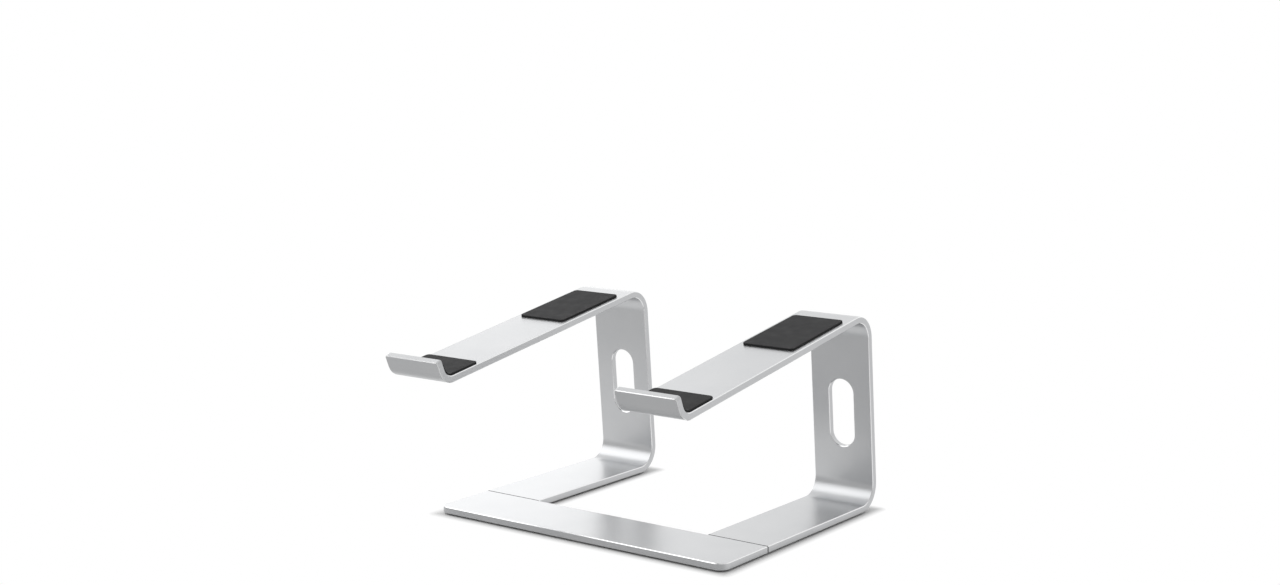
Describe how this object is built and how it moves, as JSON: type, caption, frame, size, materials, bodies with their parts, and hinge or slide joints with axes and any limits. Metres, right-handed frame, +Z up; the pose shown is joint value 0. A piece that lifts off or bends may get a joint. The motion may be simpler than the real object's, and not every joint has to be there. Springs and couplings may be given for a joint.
{
  "type": "laptop stand",
  "caption": "Open laptop stand: hooked aluminium legs with cable slots, bent from strip and screwed to a flat base plate, with rubber pads and feet.",
  "frame": {"origin": "on the table under the middle of the stand's box, between the soles of the feet", "axes": "+X to the right seen from the front, +Y to the back, away from the hooks, +Z up"},
  "size_m": [0.253, 0.2568, 0.149],
  "materials": {
    "anodised_aluminium": "bead blasted and clear anodised, with polished bevels",
    "black_rubber": "matt black silicone rubber",
    "steel": "bright zinc plated steel"
  },
  "bodies": {
    "root": {"base_plate": "anodised_aluminium", "left_leg": "anodised_aluminium", "left_hook_pad": "black_rubber", "left_arm_pad": "black_rubber", "left_front_foot": "black_rubber", "left_rear_foot": "black_rubber", "left_inner_screw": "steel", "left_outer_screw": "steel", "right_leg": "anodised_aluminium", "right_hook_pad": "black_rubber", "right_arm_pad": "black_rubber", "right_front_foot": "black_rubber", "right_rear_foot": "black_rubber", "right_inner_screw": "steel", "right_outer_screw": "steel"}
  },
  "joints": []
}
